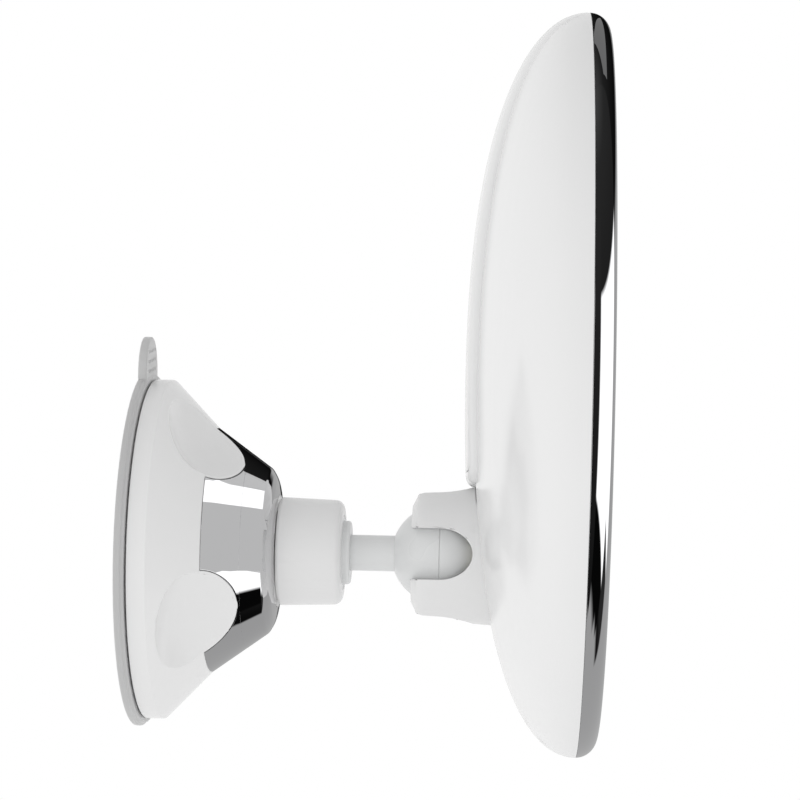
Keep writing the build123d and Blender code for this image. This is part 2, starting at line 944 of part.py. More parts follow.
def batteries():
    """Four AA cells, side by side and pointing up and down in turn."""
    middle = head_height + (bay_bottom + bay_top) / 2
    cells = []
    body_length = cell_length - cell_nub_length
    for y, way in cell_places():
        body = Cylinder(cell_radius, body_length)
        nub = Pos(0, 0, cell_length / 2) * Cylinder(cell_nub_radius, cell_nub_length)
        cell = Pos(0, 0, -cell_nub_length / 2) * (body + nub)
        if way < 0:
            cell = Rot(180, 0, 0) * cell
        cells.append(Pos(cell_depth(), y, middle) * cell)
    return group(cells)


def contact(end, y):
    """A plate on the bay's end wall with a bent leaf that touches the cell."""
    inside = (bay_top - bay_bottom) / 2 - bay_wall
    middle = head_height + (bay_bottom + bay_top) / 2
    reach = inside - contact_thickness - cell_length / 2 - close_gap
    plate = block(
        cell_depth() - contact_leaf_length / 2,
        cell_depth() + contact_leaf_length / 2,
        -contact_width / 2,
        contact_width / 2,
        inside - contact_thickness,
        inside,
    )
    foot = inside - contact_thickness / 2
    ends = contact_leaf_length / 2 - contact_thickness
    arc = ThreePointArc((-ends, 0, foot), (0, 0, foot - reach), (ends, 0, foot))
    section = Plane(origin=arc @ 0, z_dir=arc % 0, x_dir=(0, 1, 0)) * Rectangle(
        contact_width / 2, contact_thickness
    )
    leaf = Pos(cell_depth(), 0, 0) * sweep(section, path=arc)
    piece = plate + leaf
    if end < 0:
        piece = piece.mirror(Plane.XY)
    return Pos(0, y, middle) * piece


def battery_contacts():
    """Sprung contacts at both ends of each cell."""
    return group([contact(end, y) for y, way in cell_places() for end in (-1, 1)])


def power_button():
    """Flush push button in the hump, with a flange and a stem behind it."""
    height = head_height + button_place
    face = rod(button_radius, seam - hump_depth, button_flange_place, 0, height)
    face = face & head_solid(loose_gap)
    flange_end_place = button_flange_place + button_flange_length
    flange = rod(
        button_flange_radius, button_flange_place - close_gap, flange_end_place, 0, height
    )
    stem_end = switch_board_place - tact_body - button_travel - loose_gap
    stem = rod(button_stem_radius, flange_end_place - close_gap, stem_end, 0, height)
    return face + flange + stem


def switch_board():
    """Small circuit board behind the button, on two posts."""
    height = head_height + button_place
    half = switch_board_width / 2
    board = block(
        switch_board_place,
        switch_board_place + switch_board_length,
        -half,
        half,
        height - switch_board_height / 2,
        height + switch_board_height / 2,
    )
    for side in (-1, 1):
        board = board - rod(
            small_screw[0] + screw_gap,
            switch_board_place - overrun,
            switch_board_place + overrun,
            side * switch_post_place,
            height,
        )
    return board


def switch_screws():
    """Two screws that hold the switch board to its posts."""
    head_at = switch_board_place + switch_board_length
    height = head_height + button_place
    length = small_screw_length
    return group(
        screw_body(small_screw, length, head_at, -1, side * switch_post_place, height)
        for side in (-1, 1)
    )


def tact_switch():
    """Push switch on the board, facing the button's stem."""
    height = head_height + button_place
    body = block(
        switch_board_place - tact_body,
        switch_board_place,
        -tact_width / 2,
        tact_width / 2,
        height - tact_width / 2,
        height + tact_width / 2,
    )
    return body


def curved_plate(front, back, inner, outer):
    """Ring of a spherical plate about the mirror's centre of curvature."""
    def at(curve, radius):
        return mirror_centre - sqrt(curve ** 2 - radius ** 2)

    middle = (inner + outer) / 2
    front_arc = ThreePointArc(
        (at(front, inner), 0, head_height + inner),
        (at(front, middle), 0, head_height + middle),
        (at(front, outer), 0, head_height + outer),
    )
    back_arc = ThreePointArc(
        (at(back, inner), 0, head_height + inner),
        (at(back, middle), 0, head_height + middle),
        (at(back, outer), 0, head_height + outer),
    )
    edges = [front_arc.edge(), back_arc.edge()]
    edges.append(Edge.make_line(front_arc @ 1, back_arc @ 1))
    edges.append(Edge.make_line(front_arc @ 0, back_arc @ 0))
    return revolve(make_face(edges), Axis((0, 0, head_height), (1, 0, 0)))


def inner_frame():
    """Frame that carries the mirror in its dish and the lights in its trough."""
    dish = curved_plate(dish_front_curve, dish_back_curve, frame_hole, frame_inner_radius + frame_wall / 2)
    floor_end = frame_floor_place + frame_floor
    outer = trough_outer_radius + frame_wall
    points = [
        (frame_floor_place, frame_inner_radius),
        (frame_top, frame_inner_radius),
        (frame_top, trough_inner_radius),
        (floor_end, trough_inner_radius),
        (floor_end, trough_outer_radius),
        (frame_top, trough_outer_radius),
        (frame_top, outer),
        (frame_floor_place, outer),
    ]
    frame = dish + turned(points, None, head_height)
    shank, head, head_length = screw
    hole = rod(shank + screw_gap, frame_floor_place, frame_top, 0, head_height)
    pocket = rod(head + screw_gap, frame_screw_place(), frame_top, 0, head_height)
    return frame - joined(at_posts(hole + pocket))


def frame_screw_place():
    """Where the heads of the frame's screws bear."""
    return post_height(post_place) + frame_dish / 2


def frame_screws():
    """Four screws that hold the inner frame to the shell's posts."""
    length = screw_length - frame_dish
    one = screw_body(screw, length, frame_screw_place(), -1, 0, head_height)
    return group(at_posts(one))


def led_board():
    """Ring-shaped circuit board on the trough's floor."""
    return ring(
        trough_outer_radius - board_margin,
        trough_inner_radius + board_margin,
        board_front - board_thickness,
        board_front,
        head_height,
    )


def leds():
    """Light-emitting diodes evenly round the board."""
    middle = (trough_outer_radius + trough_inner_radius) / 2
    one = block(
        board_front,
        board_front + led_thickness,
        -led_width / 2,
        led_width / 2,
        head_height + middle - led_height / 2,
        head_height + middle + led_height / 2,
    )
    return group(around(one, led_count, 0, head_height))


def mirror_pad():
    """Foam tape ring that holds the mirror in the dish."""
    return curved_plate(pad_front_curve, pad_back_curve, pad_inner_radius, pad_outer_radius)


def mirror_glass():
    """Concave magnifying mirror."""
    def at(curve, radius):
        return mirror_centre - sqrt(curve ** 2 - radius ** 2)

    def arc(curve):
        middle = mirror_radius / 2
        return ThreePointArc(
            (at(curve, 0), 0, head_height),
            (at(curve, middle), 0, head_height + middle),
            (at(curve, mirror_radius), 0, head_height + mirror_radius),
        )

    front_arc = arc(mirror_curve)
    back_arc = arc(glass_back_curve)
    edges = [front_arc.edge(), back_arc.edge()]
    edges.append(Edge.make_line(front_arc @ 1, back_arc @ 1))
    edges.append(Edge.make_line(front_arc @ 0, back_arc @ 0))
    return revolve(make_face(edges), Axis((0, 0, head_height), (1, 0, 0)))


def diffuser_ring():
    """Frosted ring in front of the lights."""
    return ring(
        trough_outer_radius + frame_wall - close_gap,
        frame_inner_radius + loose_gap,
        frame_top + close_gap,
        frame_top + close_gap + diffuser_thickness,
        head_height,
    )


def chrome_rim():
    """Plated rim that closes the head's edge and holds the diffuser."""
    skirt_outer = head_radius - shell_wall - rim_skirt_wall / 2
    skirt_inner = skirt_outer - rim_skirt_wall
    lip_back = frame_top + close_gap + diffuser_thickness + close_gap
    base = head_height
    front_arc = ThreePointArc(
        (seam, 0, base + head_radius),
        (rim_middle, 0, base + rim_middle_radius),
        (rim_front, 0, base + rim_front_radius),
    )
    corners = [
        (rim_front, rim_front_radius),
        (rim_front - rim_lip_edge, rim_lip_radius),
        (lip_back, rim_lip_radius),
        (lip_back, skirt_inner),
        (seam - rim_skirt, skirt_inner),
        (seam - rim_skirt, skirt_outer),
        (seam, skirt_outer),
        (seam, head_radius),
    ]
    line = Polyline(*[(x, 0, base + radius) for x, radius in corners])
    face = make_face([front_arc.edge()] + list(line.edges()))
    return revolve(face, Axis((0, 0, base), (1, 0, 0)))


def main():
    os.makedirs("parts", exist_ok=True)
    pieces = {
        "suction_disc": suction_disc,
        "draw_stud": draw_stud,
        "cross_pin": cross_pin,
        "pressure_plate": pressure_plate,
        "thrust_washer": thrust_washer,
        "cam_sleeve": cam_sleeve,
        "cam_screws": cam_screws,
        "lock_knob": lock_knob,
        "knob_chrome_ring": knob_chrome_ring,
        "swivel_collar": swivel_collar,
        "hub_screw": hub_screw,
        "friction_washer": friction_washer,
        "swivel_bush": swivel_bush,
        "arm_rod": arm_rod,
        "ball_rear_half": ball_rear_half,
        "ball_front_half": ball_front_half,
        "ball_screw": ball_screw,
        "ball_seat": ball_seat,
        "ball_socket": ball_socket,
        "socket_screws": socket_screws,
        "back_shell": back_shell,
        "battery_door": battery_door,
        "battery_bay": battery_bay,
        "batteries": batteries,
        "battery_contacts": battery_contacts,
        "power_button": power_button,
        "switch_board": switch_board,
        "switch_screws": switch_screws,
        "tact_switch": tact_switch,
        "inner_frame": inner_frame,
        "frame_screws": frame_screws,
        "led_board": led_board,
        "leds": leds,
        "mirror_pad": mirror_pad,
        "mirror_glass": mirror_glass,
        "diffuser_ring": diffuser_ring,
        "chrome_rim": chrome_rim,
    }
    for name, make in pieces.items():
        save(make(), name)


main()
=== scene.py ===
"""Lighted wall makeup mirror: finer surfaces, finishes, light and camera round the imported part.

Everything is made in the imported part's frame: the origin is the centre of the suction disc's wall
face, +X points out of the wall towards the mirror's face and +Z is up. Sizes are written in
millimetres, and MM turns them to metres.
"""
import json
import math

import bmesh
import bpy
from bpy.props import FloatProperty, FloatVectorProperty, PointerProperty
from mathutils import Matrix, Vector
from mathutils.bvhtree import BVHTree
from mathutils.interpolate import poly_3d_calc


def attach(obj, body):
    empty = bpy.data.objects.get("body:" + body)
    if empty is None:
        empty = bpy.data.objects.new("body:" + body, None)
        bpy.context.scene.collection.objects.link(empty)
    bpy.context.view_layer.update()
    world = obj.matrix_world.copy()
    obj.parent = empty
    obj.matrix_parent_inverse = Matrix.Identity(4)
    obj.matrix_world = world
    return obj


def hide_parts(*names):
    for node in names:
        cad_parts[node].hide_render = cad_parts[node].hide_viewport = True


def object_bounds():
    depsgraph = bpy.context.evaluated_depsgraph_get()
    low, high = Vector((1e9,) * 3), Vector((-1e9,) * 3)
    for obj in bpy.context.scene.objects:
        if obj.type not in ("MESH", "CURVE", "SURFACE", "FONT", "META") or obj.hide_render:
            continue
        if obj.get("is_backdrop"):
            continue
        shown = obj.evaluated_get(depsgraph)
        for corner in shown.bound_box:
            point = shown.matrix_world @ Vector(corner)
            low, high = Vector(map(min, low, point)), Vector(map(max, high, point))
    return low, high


bl_info = {
    "name": "Lighted wall makeup mirror",
    "version": (1, 0, 0),
    "blender": (4, 5, 0),
    "location": "3D View > Sidebar > Makeup Mirror",
    "description": "Builds the visible surfaces, finishes and studio of a suction-mounted makeup mirror",
    "category": "Object",
}

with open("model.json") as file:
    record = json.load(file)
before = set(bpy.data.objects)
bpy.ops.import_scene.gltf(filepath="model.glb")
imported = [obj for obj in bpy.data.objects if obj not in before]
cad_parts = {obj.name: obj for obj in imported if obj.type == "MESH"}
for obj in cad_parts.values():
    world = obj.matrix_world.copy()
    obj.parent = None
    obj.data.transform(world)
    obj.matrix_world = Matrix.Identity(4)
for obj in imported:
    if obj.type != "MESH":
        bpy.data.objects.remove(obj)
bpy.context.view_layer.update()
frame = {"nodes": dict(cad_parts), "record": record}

MM = 0.001
FINISHES = {}


def linear(code):
    """Linear RGBA of an sRGB hex colour."""
    shares = [part / 255 for part in bytes.fromhex(code)]
    rgb = [share / 12.92 if share <= 0.04045 else ((share + 0.055) / 1.055) ** 2.4 for share in shares]
    return (*rgb, 1.0)


class MirrorColours(bpy.types.PropertyGroup):
    """Colours a user may change."""

    shell: FloatVectorProperty(
        name="Shell", description="Gloss white of the head, knob, collar and socket", subtype="COLOR",
        size=4, min=0.0, max=1.0, default=linear("E9E9E9"),
    )
    fitting: FloatVectorProperty(
        name="Fitting", description="Pale grey white of the bush, rod and ball", subtype="COLOR",
        size=4, min=0.0, max=1.0, default=linear("E0E1E1"),
    )
    disc: FloatVectorProperty(
        name="Suction disc", description="Grey of the soft translucent disc", subtype="COLOR",
        size=4, min=0.0, max=1.0, default=linear("D6D6D6"),
    )


class MirrorSizes(bpy.types.PropertyGroup):
    """Sizes a user may change."""

    floor_drop: FloatProperty(
        name="Floor below", description="How far the studio floor lies below the part", unit="LENGTH",
        default=0.5, min=0.05, max=2.0,
    )
    floor_size: FloatProperty(
        name="Floor width", description="Width of the square studio floor", unit="LENGTH",
        default=6.0, min=1.0, max=20.0,
    )


# Finishes

# Most of a noise texture's values lie between these.
NOISE_LOW = 0.3
NOISE_HIGH = 0.7
# Places of a Mix node's colour sockets among its inputs and outputs.
MIX_FIRST = 6
MIX_SECOND = 7
MIX_RESULT = 2


def add_node(tree, kind, settings=None, inputs=None):
    """Add one node, set its properties, and set or link its inputs."""
    made = tree.nodes.new(kind)
    for name, value in (settings or {}).items():
        setattr(made, name, value)
    for name, value in (inputs or {}).items():
        if isinstance(value, bpy.types.NodeSocket):
            tree.links.new(value, made.inputs[name])
        else:
            made.inputs[name].default_value = value
    return made


def blank_material(name):
    """An empty node material, and its node tree."""
    material = bpy.data.materials.new(name)
    material.use_nodes = True
    material.node_tree.nodes.clear()
    return material, material.node_tree


def grain(tree, wavelength, detail=2.0):
    """Noise on the piece's own coordinates whose coarsest cells are wavelength across."""
    place = add_node(tree, "ShaderNodeTexCoord")
    return add_node(tree, "ShaderNodeTexNoise", None, {
        "Vector": place.outputs["Object"], "Scale": 1 / wavelength, "Detail": detail, "Roughness": 0.5,
    }).outputs["Fac"]


def spread(tree, value, low, high):
    """A noise value brought from its middle range to low .. high."""
    return add_node(tree, "ShaderNodeMapRange", None, {
        "Value": value, "From Min": NOISE_LOW, "From Max": NOISE_HIGH, "To Min": low, "To Max": high,
    }).outputs["Result"]


def tinted(tree, value, colour, darker):
    """The colour, and a slightly darker one, mixed by a noise value."""
    shade = (*[part * darker for part in colour[:3]], 1.0)
    mix = add_node(tree, "ShaderNodeMix", {"data_type": "RGBA"}, {
        "Factor": value, MIX_FIRST: shade, MIX_SECOND: colour,
    })
    return mix.outputs[MIX_RESULT]


def surface(name, colour, roughness, patch, peel, peel_height, darker=0.97, **sockets):
    """A finish with slow patches of tone and gloss, and a fine relief.

    roughness is the range of the gloss and darker the tone of the darkest patches. patch and peel
    are the sizes of the patches and of the relief's bumps, and peel_height is its depth.
    """
    material, tree = blank_material(name)
    slow = grain(tree, patch)
    bump = add_node(tree, "ShaderNodeBump", None, {
        "Height": grain(tree, peel, 3.0), "Distance": peel_height, "Strength": 1.0,
    })
    inputs = {
        "Base Color": tinted(tree, spread(tree, slow, 0.0, 1.0), colour, darker),
        "Roughness": spread(tree, slow, *roughness),
        "Normal": bump.outputs["Normal"],
    }
    inputs.update({key.replace("_", " "): value for key, value in sockets.items()})
    shader = add_node(tree, "ShaderNodeBsdfPrincipled", None, inputs)
    add_node(tree, "ShaderNodeOutputMaterial", None, {"Surface": shader.outputs["BSDF"]})
    return material


def finishes(colours):
    """Every finish of the part, by the record's slot."""
    return {
        # Injection-moulded ABS from a polished mould: bright, glossy, faint orange peel.
        "white_plastic": surface(
            "gloss_moulded_abs", tuple(colours.shell), (0.16, 0.22), 40 * MM, 1.6 * MM, 0.004 * MM,
            0.985, IOR=1.53),
        # The same ABS from a duller mould, painted a touch greyer as painted shade: the arm's joints sit in
        # the head's shade beside the bright shell.
        "joint_plastic_painted_shade": surface(
            "painted_shade_gloss_abs", linear("E6E6E6"), (0.2, 0.26), 30 * MM, 1.4 * MM, 0.004 * MM, 0.985, IOR=1.53),
        # ABS from a plain machined mould: even white with a soft satin look.
        "white_frame_plastic": surface(
            "satin_moulded_abs", linear("E9E9E7"), (0.38, 0.46), 30 * MM, 0.8 * MM, 0.006 * MM, IOR=1.53),
        # Polypropylene, self-lubricating where it turns: waxy grey white.
        "pale_bush_plastic": surface(
            "moulded_polypropylene", tuple(colours.fitting), (0.24, 0.32), 20 * MM, 1.2 * MM, 0.005 * MM,
            0.98, IOR=1.49),
        # Natural acetal: slightly creamy, dull and slippery.
        "natural_plastic": surface(
            "natural_acetal", linear("E6E3D8"), (0.34, 0.42), 15 * MM, 0.7 * MM, 0.004 * MM, IOR=1.48),
        # Soft plasticised PVC: smoky grey, light passes a little way in.
        "translucent_disc": surface(
            "soft_translucent_pvc", tuple(colours.disc), (0.3, 0.38), 25 * MM, 1.0 * MM, 0.005 * MM,
            0.97, IOR=1.53, Transmission_Weight=0.25),
        # Bright chrome electroplated on ABS: a mirror with a very slight haze.
        "chrome_plating": surface(
            "plated_chrome", linear("D2D2D3"), (0.0, 0.002), 30 * MM, 6.0 * MM, 0.0015 * MM, 0.99,
            Metallic=1.0),
        # Zinc-plated steel: bluish, lightly grained metal.
        "screw_steel": surface(
            "zinc_plated_steel", linear("B9BCBF"), (0.26, 0.36), 4 * MM, 0.3 * MM, 0.004 * MM, 0.9,
            Metallic=1.0),
        # Nitrile rubber and foam tape: flat black.
        "black_rubber": surface(
            "nitrile_rubber", linear("1E1E1F"), (0.6, 0.75), 8 * MM, 0.25 * MM, 0.02 * MM, 0.8, IOR=1.52),
        # Shrink sleeve of a cell: thin glossy film over steel.
        "cell_case": surface(
            "shrink_sleeve", linear("8E9196"), (0.25, 0.32), 12 * MM, 2.0 * MM, 0.008 * MM, 0.92, IOR=1.5),
        # Glass-epoxy board under green solder resist.
        "circuit_board": surface(
            "green_solder_resist", linear("1E6B3C"), (0.3, 0.4), 6 * MM, 0.5 * MM, 0.006 * MM, 0.85, IOR=1.5),
        # Glass-epoxy board under white solder resist, which throws light forward.
        "circuit_board_white": surface(
            "white_solder_resist", linear("E8E8E4"), (0.34, 0.44), 10 * MM, 0.5 * MM, 0.006 * MM, 0.95,
            IOR=1.5),
        # Glass-filled nylon: near black, dull.
        "switch_black": surface(
            "black_nylon", linear("161616"), (0.45, 0.55), 3 * MM, 0.2 * MM, 0.005 * MM, 0.8, IOR=1.53),
        # Phosphor-filled silicone of a white diode: pale yellow.
        "led_lens": surface(
            "phosphor_silicone", linear("F2E9A8"), (0.2, 0.3), 2 * MM, 0.3 * MM, 0.003 * MM, 0.92, IOR=1.41),
        # Silvered float glass: a clean mirror with a faint green cast.
        "silvered_mirror": surface(
            "silvered_glass", linear("EDF0EF"), (0.0, 0.01), 60 * MM, 20 * MM, 0.0, 0.995, Metallic=1.0),
        # Opal acrylic with a satin face: bright, even, light spreads inside.
        "frosted_diffuser": surface(
            "satin_opal_acrylic", linear("F1F2F1"), (0.4, 0.5), 50 * MM, 0.5 * MM, 0.004 * MM, 0.99, IOR=1.49,
            Subsurface_Weight=0.3),
    }


class MIRROR_OT_finish_frame(bpy.types.Operator):
    """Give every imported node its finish"""

    bl_idname = "makeup_mirror.finish_frame"
    bl_label = "Finish the packed nodes"

    def execute(self, context):
        FINISHES.update(finishes(context.scene.mirror_colours))
        for row in frame["record"]["subparts"]:
            mesh = frame["nodes"][row["node"]].data
            mesh.materials.clear()
            mesh.materials.append(FINISHES[row["material_slot"]])
        return {"FINISHED"}


# Shapes

# Steps of a full turn on the lathe, for the small pieces and for the head.
TURN_STEPS = 256
HEAD_TURN_STEPS = 360
# Fewest steps round a lathed corner, and steps for each millimetre of its rounding.
ROUND_STEPS = 4
ROUND_STEPS_PER_MM = 4
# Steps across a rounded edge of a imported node.
EDGE_STEPS = 2
# An edge that bends more than EDGE_ANGLE is sharp, and less than FLAT_ANGLE is no edge at all.
EDGE_ANGLE = math.radians(28)
FLAT_ANGLE = math.radians(0.3)
# Two triangles join where they bend less than the first angle and their corners suit the second.
JOINED_BEND = math.radians(12)
JOINED_CORNERS = math.radians(60)
# Points nearer to each other than this are one.
LATHE_MERGE = 0.001
COPY_MERGE = 0.002
# How strongly large faces lead the shading of a lathed piece.
FACE_WEIGHT = 100
# How far a foot goes into what carries it, and how squarely its faces look that way.
SINK_DEPTH = 0.6
SINK_FACING = 0.7


def lathe(corners, axis_height=0.0, steps=TURN_STEPS):
    """Spin a closed outline about an axis along X, all in mm.

    Each corner gives its place along X, its radius and how much it is rounded.
    """
    shape = bmesh.new()
    outline = [shape.verts.new((place * MM, 0, radius * MM)) for place, radius, rounding in corners]
    shape.faces.new(outline)
    for vertex, (place, radius, rounding) in zip(outline, corners):
        if rounding:
            bmesh.ops.bevel(
                shape, geom=[vertex], offset=rounding * MM, offset_type="OFFSET", affect="VERTICES",
                segments=max(ROUND_STEPS, round(ROUND_STEPS_PER_MM * rounding)), profile=0.5, material=-1)
    bmesh.ops.delete(shape, geom=shape.faces[:], context="FACES_ONLY")
    bmesh.ops.spin(
        shape, geom=shape.verts[:] + shape.edges[:], cent=(0, 0, 0), axis=(1, 0, 0), angle=math.tau,
        steps=steps, use_merge=True)
    bmesh.ops.remove_doubles(shape, verts=shape.verts, dist=LATHE_MERGE * MM)
    bmesh.ops.recalc_face_normals(shape, faces=shape.faces)
    bmesh.ops.translate(shape, vec=(0, 0, axis_height * MM), verts=shape.verts)
    return shape


def merged_copy(packed, cut):
    """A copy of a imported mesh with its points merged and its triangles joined, cut off beyond cut."""
    shape = bmesh.new()
    shape.from_mesh(packed)
    bmesh.ops.remove_doubles(shape, verts=shape.verts, dist=COPY_MERGE * MM)
    if cut:
        bmesh.ops.bisect_plane(
            shape, geom=shape.verts[:] + shape.edges[:] + shape.faces[:], plane_co=(cut * MM, 0, 0),
            plane_no=(1, 0, 0), clear_outer=True)
    bmesh.ops.dissolve_limit(
        shape, angle_limit=FLAT_ANGLE, use_dissolve_boundaries=False, verts=[], edges=shape.edges[:],
        delimit=set())
    bmesh.ops.join_triangles(
        shape, faces=shape.faces[:], angle_face_threshold=JOINED_BEND, angle_shape_threshold=JOINED_CORNERS)
    return shape


def own_normal(packed, surface_tree, place):
    """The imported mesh's own shading normal where its surface is nearest to a place."""
    nearest, _, index, _ = surface_tree.find_nearest(place)
    face = packed.polygons[index]
    shares = poly_3d_calc([packed.vertices[corner].co for corner in face.vertices], nearest)
    parts = [packed.corner_normals[loop].vector * share for loop, share in zip(face.loop_indices, shares)]
    return sum(parts, Vector()).normalized()


def sink_foot(shape, start):
    """Move what faces along +X beyond start into what carries it, with the points next to it."""
    foot = {
        vertex for face in shape.faces for vertex in face.verts
        if face.normal.x > SINK_FACING and face.calc_center_median().x > start * MM}
    foot |= {edge.other_vert(vertex) for vertex in foot for edge in vertex.link_edges}
    bmesh.ops.translate(shape, vec=(SINK_DEPTH * MM, 0, 0), verts=list(foot))


def rounded(node, rounding, reach=math.inf, cut=None, foot_start=None):
    """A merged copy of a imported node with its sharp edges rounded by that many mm, and its normals.

    Only edges nearer the wall than reach are rounded, cut drops what lies beyond it, and a foot
    beyond foot_start goes into what carries it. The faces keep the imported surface's own normals,
    and the rounded edges run from one to the next.
    """
    packed = frame["nodes"][node].data
    surface_tree = BVHTree.FromPolygons(
        [vertex.co for vertex in packed.vertices], [face.vertices for face in packed.polygons])
    shape = merged_copy(packed, cut)
    sharp = [
        edge for edge in shape.edges
        if edge.is_manifold and edge.calc_face_angle() > EDGE_ANGLE and edge.verts[0].co.x < reach * MM]
    made = bmesh.ops.bevel(
        shape, geom=sharp, offset=rounding * MM, offset_type="OFFSET", affect="EDGES",
        segments=EDGE_STEPS, profile=0.5, material=-1, loop_slide=True)
    edge_faces = set(made["faces"])
    between = {
        vertex for face in edge_faces for vertex in face.verts if edge_faces.issuperset(vertex.link_faces)}
    bmesh.ops.recalc_face_normals(shape, faces=shape.faces)
    kept = [vertex for vertex in shape.verts if vertex not in between]
    normals = {vertex: own_normal(packed, surface_tree, vertex.co) for vertex in kept}
    if foot_start:
        sink_foot(shape, foot_start)
    for vertex in between:
        near = [edge.other_vert(vertex) for edge in vertex.link_edges]
        known = [normals[other] for other in near if other not in between]
        normals[vertex] = sum(known, Vector()).normalized() if known else vertex.normal
    return shape, [normals[vertex] for vertex in shape.verts]


def piece(name, shape, node, normals=None, finish=None):
    """Make the shape a smooth-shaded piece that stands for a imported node, with that node's finish."""
    mesh = bpy.data.meshes.new(name)
    shape.to_mesh(mesh)
    shape.free()
    mesh.shade_smooth()
    if normals:
        mesh.normals_split_custom_set_from_vertices(normals)
    row = next(row for row in frame["record"]["subparts"] if row["node"] == node)
    mesh.materials.append(FINISHES[finish or row["material_slot"]])
    made = bpy.data.objects.new(name, mesh)
    bpy.context.scene.collection.objects.link(made)
    if not normals:
        made.modifiers.new("even_shading", "WEIGHTED_NORMAL").weight = FACE_WEIGHT
    body = next(body for body, nodes in frame["record"]["behaviour"]["bodies"].items() if node in nodes)
    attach(made, body)
    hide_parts(node)


def rounded_piece(name, node, rounding, finish=None, **limits):
    """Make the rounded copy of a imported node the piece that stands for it."""
    shape, normals = rounded(node, rounding, **limits)
    piece(name, shape, node, normals, finish)


# Suction disc: a flat skirt with a stepped edge, and a boss with a pocket for the stud.
DISC_RADIUS = 48.0
DISC_THICKNESS = 2.6
SKIRT_STEP = 1.7
STEP_FOOT_RADIUS = 47.4
STEP_TOP_RADIUS = 47.2
BOSS_FOOT_RADIUS = 13.0
BOSS_TOP_RADIUS = 10.8
BOSS_END = 7.8
POCKET_RADIUS = 9.0
POCKET_FLOOR = 3.0
# A lathed outline stops this far short of its axis.
AXIS_GAP = 0.01
# Pull tab: a round leaf turned a little to one side, with low dots in rows for the grip.
TAB_RADIUS = 9.8
TAB_THICKNESS = 2.35
TAB_EDGE = 0.5
TAB_EDGE_STEPS = 3
TAB_STEPS = 96
TAB_CENTRE = 47.9
TAB_CLEARANCE = 0.05
TAB_TURN = math.radians(10)
DOT_RADIUS = 0.5
DOT_FLATNESS = 0.45
DOT_PITCH = 2.6
DOT_LIFT = 3.5
DOT_STEPS = (16, 10)


def pull_tab():
    """The tab lying flat about its own centre, brought up to stand at the disc's edge."""
    tab = bmesh.new()
    bmesh.ops.create_circle(tab, cap_ends=True, radius=TAB_RADIUS * MM, segments=TAB_STEPS)
    grown = bmesh.ops.extrude_face_region(tab, geom=tab.faces[:])["geom"]
    raised = [item for item in grown if isinstance(item, bmesh.types.BMVert)]
    bmesh.ops.translate(tab, vec=(0, 0, TAB_THICKNESS * MM), verts=raised)
    bmesh.ops.recalc_face_normals(tab, faces=tab.faces)
    edges = [edge for edge in tab.edges if edge.calc_face_angle(0) > EDGE_ANGLE]
    bmesh.ops.bevel(
        tab, geom=edges, offset=TAB_EDGE * MM, offset_type="OFFSET", affect="EDGES",
        segments=TAB_EDGE_STEPS, profile=0.5, material=-1)
    for row in (-1, 0, 1):
        for side in (-2, -1, 0, 1, 2):
            centre = Vector((-DOT_LIFT - DOT_PITCH * row, DOT_PITCH * side, TAB_THICKNESS))
            place = Matrix.Translation(centre * MM) @ Matrix.Diagonal((1, 1, DOT_FLATNESS, 1))
            bmesh.ops.create_uvsphere(
                tab, u_segments=DOT_STEPS[0], v_segments=DOT_STEPS[1], radius=DOT_RADIUS * MM, matrix=place)
    upright = Matrix.Rotation(math.radians(90), 4, "Y")
    at_edge = Matrix.Translation(Vector((TAB_CLEARANCE, 0, TAB_CENTRE)) * MM)
    bmesh.ops.transform(tab, matrix=at_edge @ upright, verts=tab.verts)
    bmesh.ops.rotate(tab, cent=(0, 0, 0), matrix=Matrix.Rotation(TAB_TURN, 3, "X"), verts=tab.verts)
    return tab


class MIRROR_OT_make_disc(bpy.types.Operator):
    """Make the soft suction disc, its stepped rim and its pull tab with raised dots"""

    bl_idname = "makeup_mirror.make_disc"
    bl_label = "Make the suction disc"

    def execute(self, context):
        disc = lathe([
            (0, AXIS_GAP, 0), (0, DISC_RADIUS, 0.5), (SKIRT_STEP, DISC_RADIUS, 0.35),
            (1.9, STEP_FOOT_RADIUS, 0.15), (DISC_THICKNESS, STEP_TOP_RADIUS, 0.3),
            (DISC_THICKNESS, BOSS_FOOT_RADIUS, 0.8), (BOSS_END, BOSS_TOP_RADIUS, 0.8),
            (BOSS_END, POCKET_RADIUS, 0), (POCKET_FLOOR, POCKET_RADIUS, 0), (POCKET_FLOOR, AXIS_GAP, 0),
        ])
        tab = pull_tab()
        carrier = bpy.data.meshes.new("tab")
        tab.to_mesh(carrier)
        tab.free()
        disc.from_mesh(carrier)
        bpy.data.meshes.remove(carrier)
        piece("soft_disc", disc, "suction_disc")
        return {"FINISHED"}


# Knob and its chrome trim: edge roundings, how far the knob's edges are rounded, where the ring
# with the four tabs ends, and the collar's hole in the front of the trim.
KNOB_EDGE = 0.25
KNOB_REACH = 29.0
TRIM_EDGE = 0.18
TRIM_CUT = 29.6
TRIM_START = 29.5
TRIM_FRONT = 37.4
TRIM_HOLE_RADIUS = 15.1


